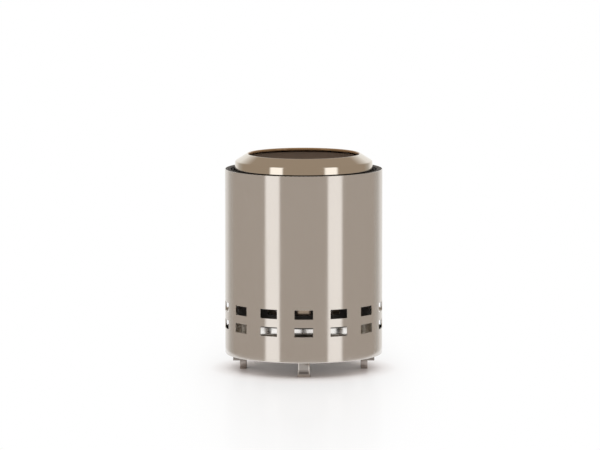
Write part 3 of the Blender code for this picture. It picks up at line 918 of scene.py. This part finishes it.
def polished_ring_steel():
    """Straw-coloured outside, bronze inside the mouth, and near black below the shell's rim as
    painted shade.
    """
    made, tree, shader = steel("polished_ring_steel")
    grain_on(tree, shader, lines=1100.0, smooth=0.05, rough=0.09, depth=0.0000003)
    spot = spot_on_pit(tree)
    inside = fall(tree, spot.away, *MOUTH_EDGE, smooth=True)
    tint = place_group(tree, HEAT_TINT, heat=0.55, drift=0.3)
    colour = blend(tree, inside, STRAW, tint.outputs["Colour"])
    # Painted shade: near black on the band where it goes down behind the shell's rim.
    gap_shade = fall(tree, spot.height, SHELL_TOP + 0.0003, SHELL_TOP + 0.0008)
    feed(tree, blend(tree, gap_shade, colour, RING_GAP_SHADE), shader.inputs["Base Color"])
    # Less metal where the mouth is tinted and where the painted shade lies below the rim.
    tint_and_shade = math_node(tree, "MAXIMUM", gap_shade, inside)
    feed(tree, grade(tree, tint_and_shade, 1.0, 0.35), shader.inputs["Metallic"])
    return made


def satin_steel():
    made, tree, shader = steel("satin_steel")
    feed(tree, (0.50, 0.48, 0.45), shader.inputs["Base Color"])
    grain_on(tree, shader, lines=700.0, smooth=0.26, rough=0.40, depth=0.000002)
    return made


def bare_steel():
    """Bright mill finish, for the base ring."""
    made, tree, shader = steel("bare_steel")
    feed(tree, (0.90, 0.88, 0.85), shader.inputs["Base Color"])
    grain_on(tree, shader, lines=900.0, smooth=0.10, rough=0.16, depth=0.0000006)
    return made


def oxide_on(tree, shader, specular):
    """The dull scale that smoke and heat leave on a steel."""
    shader.inputs["Specular IOR Level"].default_value = specular
    grain_on(tree, shader, lines=700.0, smooth=0.55, rough=0.72, depth=0.000002, marks=0.10)


def jacket_steel_with_painted_light():
    """Painted shade on the outer face of the jacket, a matt near black, and painted light on its
    inner face, a bright bare metal.
    """
    made, tree, shader = steel("jacket_steel_with_painted_light")
    oxide_on(tree, shader, specular=0.2)
    away = spot_on_pit(tree).away
    outside = spread(tree, away, JACKET_BORE + 0.0002, JACKET_BORE + 0.0006)
    # Painted shade on the outer face and painted light on the inner face.
    feed(tree, blend(tree, outside, JACKET_INSIDE_LIT, JACKET_SHADE_BLACK), shader.inputs["Base Color"])
    feed(tree, grade(tree, outside, 0.9, 0.25), shader.inputs["Metallic"])
    return made


def dark_steel_with_painted_shade():
    """Matt and dark grey, with painted shade in black along the flame ring and along the shell."""
    made, tree, shader = steel("dark_steel_with_painted_shade")
    shader.inputs["Metallic"].default_value = 0.0
    oxide_on(tree, shader, specular=0.1)
    across = spread(tree, spot_on_pit(tree).away, RING_RADIUS, SHELL_RADIUS)
    # Painted shade: black at both edges, where the ring meets the flame ring and the shell.
    colour = ramp(tree, across, [
        (0.38, TOP_RING_SHADE_BLACK),
        (0.44, TOP_RING_GREY),
        (0.80, TOP_RING_GREY),
        (0.88, TOP_RING_SHADE_EDGE),
    ])
    feed(tree, colour, shader.inputs["Base Color"])
    return made


def heat_tinted_steel():
    """Tinted more towards the mouth and on the inner face. Lower down, the outer face is bright."""
    made, tree, shader = steel("heat_tinted_steel")
    grain_on(tree, shader, lines=700.0, smooth=0.14, rough=0.26, depth=0.000001, marks=0.10)
    spot = spot_on_pit(tree)
    risen = spread(tree, spot.height, *CHAMBER_WARM_HEIGHTS, 0.0, 0.55)
    inner = fall(tree, spot.away, CHAMBER_BORE + 0.0002, CHAMBER_BORE + 0.0009)
    heat = math_node(tree, "ADD", risen, math_node(tree, "MULTIPLY", inner, 0.45))
    tint = place_group(tree, HEAT_TINT, heat=heat, drift=0.2)
    feed(tree, tint.outputs["Colour"], shader.inputs["Base Color"])
    feed(tree, grade(tree, inner, 1.0, 0.3), shader.inputs["Metallic"])
    return made


def grate_steel():
    """Dark oxide with lighter rubbed patches and a coarse scale."""
    made, tree, shader = steel("grate_steel")
    rubbed = place_group(tree, SMUDGES, size=30.0, cover=0.55).outputs["Mask"]
    feed(tree, blend(tree, rubbed, GRATE_SCALE, GRATE_RUBBED), shader.inputs["Base Color"])
    feed(tree, grade(tree, rubbed, 0.62, 0.42), shader.inputs["Roughness"])
    scale = noise(tree, object_place(tree), 600.0, detail=4.0)
    bump_on(tree, shader, scale, depth=0.0002, strength=0.6)
    return made


POLISHED_SHELL = polished_shell_steel()
POLISHED_RING = polished_ring_steel()
SATIN = satin_steel()
HEAT_TINTED = heat_tinted_steel()
GRATE = grate_steel()
JACKET_PAINTED_LIGHT = jacket_steel_with_painted_light()
DARK_WITH_PAINTED_SHADE = dark_steel_with_painted_shade()
BARE = bare_steel()
FOOT = foot_steel_with_painted_light()


def dress(obj, material, slot, body, *nodes):
    """Give a finished piece its steel and its body, and hide the nodes that it stands for. The slot
    is not used.
    """
    obj.data.materials.clear()
    obj.data.materials.append(material)
    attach(obj, body)
    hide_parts(*nodes)


def build_pit():
    dress(outer_shell(), POLISHED_SHELL, "polished_stainless", "stove", "outer_shell")
    dress(slotted_ring(), DARK_WITH_PAINTED_SHADE, "fire_darkened_stainless", "stove", "top_vent_ring")
    dress(flame_ring(), POLISHED_RING, "polished_stainless", "ring", "flame_ring")
    dress(jacket(), JACKET_PAINTED_LIGHT, "fire_darkened_stainless", "stove", "jacket")
    dress(burn_chamber(), HEAT_TINTED, "heat_tinted_stainless", "stove", "burn_chamber")
    dress(crown_ring(), HEAT_TINTED, "heat_tinted_stainless", "stove", "crown_ring")
    dress(grate_ledge(), HEAT_TINTED, "heat_tinted_stainless", "stove", "grate_ledge")
    dress(fuel_grate(), GRATE, "grate_steel", "grate", "fuel_grate")
    dress(ash_pan(), SATIN, "satin_stainless", "pan", "ash_pan")
    dress(base_ring(), BARE, "satin_stainless", "stove", "base_ring")
    jacket_floor = dish("jacket_dish", JACKET_BORE - FIT, JACKET_FLOOR_BOTTOM, JACKET_FLOOR_RIM)
    dress(jacket_floor, SATIN, "satin_stainless", "stove", "jacket_floor")
    on_flange = CHAMBER_BOTTOM + SHEET + FIT
    chamber_floor = dish("chamber_dish", CHAMBER_BORE - FIT, on_flange, CHAMBER_FLOOR_RIM)
    dress(chamber_floor, HEAT_TINTED, "heat_tinted_stainless", "stove", "chamber_floor")
    for quarter, side in enumerate(("front", "right", "back", "left")):
        foot = folded_copy("folded_foot_" + side, "foot_" + side, FOOT_FOLD)
        dress(foot, FOOT, "polished_stainless", "stove", "foot_" + side)
        for end, away in RIVET_CIRCLES.items():
            node = f"foot_rivet_{side}_{end}"
            pin = rivet("dome_" + node, away, quarter * math.pi / 2)
            dress(pin, SATIN, "satin_stainless", "stove", node)
    for i in range(1, 5):
        clip = folded_copy(f"clip_{i}", f"jacket_bracket_{i}", CLIP_FOLD)
        dress(clip, SATIN, "satin_stainless", "stove", f"jacket_bracket_{i}")
        tab = folded_copy(f"tab_{i}", f"ring_tab_{i}", TAB_FOLD)
        dress(tab, SATIN, "satin_stainless", "ring", f"ring_tab_{i}")
        post = spacer(f"post_{i}", math.pi / 4 + (i - 1) * math.pi / 2)
        dress(post, SATIN, "satin_stainless", "stove", f"chamber_spacer_{i}")


# Studio

FLOOR_SIZE = 80.0
# Painted shade: the floor's colour under the pit, warmer and darker.
FLOOR_WARM_SHADE = (0.95, 0.87, 0.84)
FLOOR_FAR = (0.95, 0.94, 0.935)
FLOOR_MIRROR = 0.10
FLOOR_SEEN_IN_METAL = 0.34
SHADE_SCALE = (1 / 0.21, 1 / 1.2, 1.0)
SHADE_SHIFT_SCALED = (0.0, 0.12, 0.0)
SHADE_STOPS = ((0.20, 0.42), (0.38, 0.70), (0.50, 0.92), (0.65, 1.0))

ROOM = (0.36, 0.295, 0.23)
STRIP = (1.25, 1.22, 1.18)
BACKDROP = (
    (137.0, (0.45, 0.42, 0.375)),
    (151.0, (0.80, 0.77, 0.74)),
    (166.0, (0.88, 0.87, 0.84)),
    (180.0, (1.0, 0.99, 0.97)),
)
WHITE = (1.0, 1.0, 1.0)

CAMERA_PLACE = (-0.0071, -8.700, 1.2917)
CAMERA_PITCH = math.radians(90.0 - 6.665)
CAMERA_LENS = 275.5
CAMERA_SENSOR = 36.0
CAMERA_REACH = 100.0


def pale_surface(tree, reach):
    """Matt, with a warmer and darker painted shade under the pit, and a faint mirror on it."""
    matt = tree.nodes.new("ShaderNodeBsdfDiffuse")
    feed(tree, ramp(tree, reach, [(0.13, FLOOR_WARM_SHADE), (0.22, FLOOR_FAR)]), matt.inputs["Color"])
    gloss = tree.nodes.new("ShaderNodeBsdfGlossy")
    feed(tree, WHITE, gloss.inputs["Color"])
    gloss.inputs["Roughness"].default_value = 0.12
    return mix_shaders(tree, FLOOR_MIRROR, matt.outputs[0], gloss.outputs[0])


def shade_round_pit(tree, where):
    """How far the floor has faded to white: least in a long ellipse round the pit."""
    shade = tree.nodes.new("ShaderNodeMapping")
    shade.inputs["Location"].default_value = SHADE_SHIFT_SCALED
    shade.inputs["Scale"].default_value = SHADE_SCALE
    tree.links.new(where, shade.inputs["Vector"])
    half_off = math_node(tree, "MULTIPLY", length_of(tree, shade.outputs[0]), 0.5)
    return ramp(tree, half_off, [(place, (level,) * 3) for place, level in SHADE_STOPS])


def floor():
    """A wide pale floor, which fades to white away from the pit and mirrors it faintly."""
    bpy.ops.object.select_all(action="DESELECT")
    bpy.ops.mesh.primitive_plane_add(size=FLOOR_SIZE)
    obj = bpy.context.object
    obj.name = "floor"
    made = bpy.data.materials.new("studio_floor")
    made.use_nodes = True
    tree = made.node_tree
    tree.nodes.remove(tree.nodes["Principled BSDF"])
    where = object_place(tree)
    reach = length_of(tree, where)
    ray = tree.nodes.new("ShaderNodeLightPath")
    fade = math_node(
        tree, "MULTIPLY", shade_round_pit(tree, where), spread(tree, reach, 0.12, 0.18)
    )
    watched = math_node(tree, "MULTIPLY", fade, ray.outputs["Is Camera Ray"])
    open_floor = spread(tree, reach, 0.13, 0.17)
    reflected = math_node(tree, "MULTIPLY", open_floor, ray.outputs["Is Glossy Ray"])
    seen = math_node(tree, "ADD", watched, reflected)
    white = tree.nodes.new("ShaderNodeEmission")
    both = mix_shaders(tree, seen, pale_surface(tree, reach), white.outputs[0])
    far = math_node(tree, "GREATER_THAN", reach, FLOOR_SEEN_IN_METAL)
    unseen = math_node(tree, "MULTIPLY", far, ray.outputs["Is Glossy Ray"])
    clear = tree.nodes.new("ShaderNodeBsdfTransparent")
    mirrored = mix_shaders(tree, unseen, both, clear.outputs[0])
    tree.links.new(mirrored, tree.nodes["Material Output"].inputs["Surface"])
    obj.data.materials.append(made)


def studio_world():
    """White to the camera. Metal sees two strip lights, a white backdrop and a taupe room."""
    world = bpy.data.worlds.new("studio")
    bpy.context.scene.world = world
    world.use_nodes = True
    world.cycles.sampling_method = "NONE"
    tree = world.node_tree
    where = tree.nodes.new("ShaderNodeTexCoord")
    parts = tree.nodes.new("ShaderNodeSeparateXYZ")
    tree.links.new(where.outputs["Generated"], parts.inputs[0])
    back = math_node(tree, "MULTIPLY", parts.outputs["Y"], -1.0)
    azimuth = math_node(tree, "ARCTAN2", parts.outputs["X"], back)
    aside = spread(tree, math_node(tree, "ABSOLUTE", azimuth), 0.0, math.pi)
    lights = ((0.0, ROOM), (34.0, ROOM), (37.0, STRIP), (56.0, STRIP), (60.0, ROOM), (122.0, ROOM))
    around = ramp(tree, aside, [(angle / 180, colour) for angle, colour in lights + BACKDROP])
    rise = math_node(tree, "ARCSINE", parts.outputs["Z"])
    overhead = spread(tree, rise, math.radians(20.0), math.radians(37.0))
    studio = blend(tree, overhead, around, ROOM)
    soft = spread(tree, rise, math.radians(-5.0), math.radians(45.0), 0.45, 1.1)
    ray = tree.nodes.new("ShaderNodeLightPath")
    to_metal = blend(tree, ray.outputs["Is Glossy Ray"], soft, studio)
    shown = blend(tree, ray.outputs["Is Camera Ray"], to_metal, WHITE)
    tree.links.new(shown, tree.nodes["Background"].inputs["Color"])
    tree.nodes["Background"].inputs["Strength"].default_value = 1.0


def camera():
    data = bpy.data.cameras.new("camera")
    data.lens = CAMERA_LENS
    data.sensor_width = CAMERA_SENSOR
    data.clip_end = CAMERA_REACH
    obj = bpy.data.objects.new("camera", data)
    obj.location = CAMERA_PLACE
    obj.rotation_euler = (CAMERA_PITCH, 0.0, 0.0)
    bpy.context.scene.collection.objects.link(obj)
    bpy.context.scene.camera = obj


camera()
build_pit()
floor()
studio_world()
bpy.context.scene.view_settings.view_transform = "Standard"
